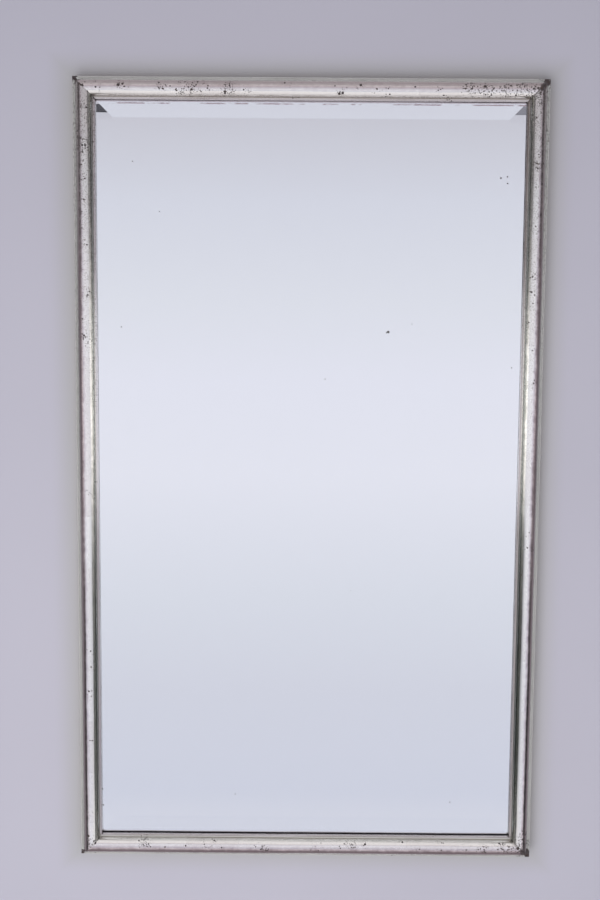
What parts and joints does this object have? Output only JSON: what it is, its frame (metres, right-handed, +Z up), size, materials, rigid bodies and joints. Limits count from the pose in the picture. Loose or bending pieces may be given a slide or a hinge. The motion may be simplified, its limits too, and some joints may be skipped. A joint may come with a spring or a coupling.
{
  "type": "framed wall mirror",
  "caption": "Tall rectangular wall mirror: round silver-leafed moulding with mitred corners around a bevelled mirror plate, boarded back, two ring hangers.",
  "frame": {"origin": "middle of the top rail's back face, on the plane that faces the wall", "axes": "+X to the right as seen from the front, +Y back towards the wall, +Z up"},
  "size_m": [0.65, 0.0422, 1.1],
  "materials": {
    "silver_leaf": "pine covered with gesso and worn, tarnished silver leaf; satin to semi-gloss",
    "plate_glass": "clear soda-lime plate, polished, bevelled",
    "silvered_back": "silver under copper and red-brown backing paint",
    "key_oak": "oak slip, planed flush",
    "back_pine": "old unfinished pine board, sawn",
    "block_pine": "split pine, glued",
    "iron_nails": "cut iron, dark with light rust",
    "steel_screws": "dull steel",
    "hanger_brass": "toned brass strip and wire",
    "leather_slip": "vegetable-tanned leather slip",
    "felt_pad": "pressed wool felt"
  },
  "bodies": {
    "frame": {"top_rail": "silver_leaf", "bottom_rail": "silver_leaf", "left_stile": "silver_leaf", "right_stile": "silver_leaf", "mirror_glass": "plate_glass", "silvering": "silvered_back", "corner_key_top_left": "key_oak", "corner_key_top_right": "key_oak", "corner_key_bottom_left": "key_oak", "corner_key_bottom_right": "key_oak", "corner_nails": "iron_nails", "backboard_nails": "iron_nails", "hanger_screws": "steel_screws", "backboard_1": "back_pine", "backboard_2": "back_pine", "backboard_3": "back_pine", "backboard_4": "back_pine", "glue_block_top_1": "block_pine", "glue_block_top_2": "block_pine", "glue_block_bottom_1": "block_pine", "glue_block_bottom_2": "block_pine", "glue_block_left_1": "block_pine", "glue_block_left_2": "block_pine", "glue_block_left_3": "block_pine", "glue_block_right_1": "block_pine", "glue_block_right_2": "block_pine", "glue_block_right_3": "block_pine", "plate_slip_left": "leather_slip", "plate_slip_right": "leather_slip", "hanger_strap_left": "hanger_brass", "hanger_strap_right": "hanger_brass", "wall_pad_left": "felt_pad", "wall_pad_right": "felt_pad"},
    "left_ring": {"hanger_ring_left": "hanger_brass"},
    "right_ring": {"hanger_ring_right": "hanger_brass"}
  },
  "joints": [
    {"name": "left_ring_swing", "type": "hinge", "parent": "frame", "child": "left_ring", "pos_m": [-0.3154, 0.00256, -0.2534], "axis": [1, 0, 0], "range_deg": [-4, 170]},
    {"name": "right_ring_swing", "type": "hinge", "parent": "frame", "child": "right_ring", "pos_m": [0.3154, 0.00256, -0.2534], "axis": [1, 0, 0], "range_deg": [-4, 170]}
  ]
}
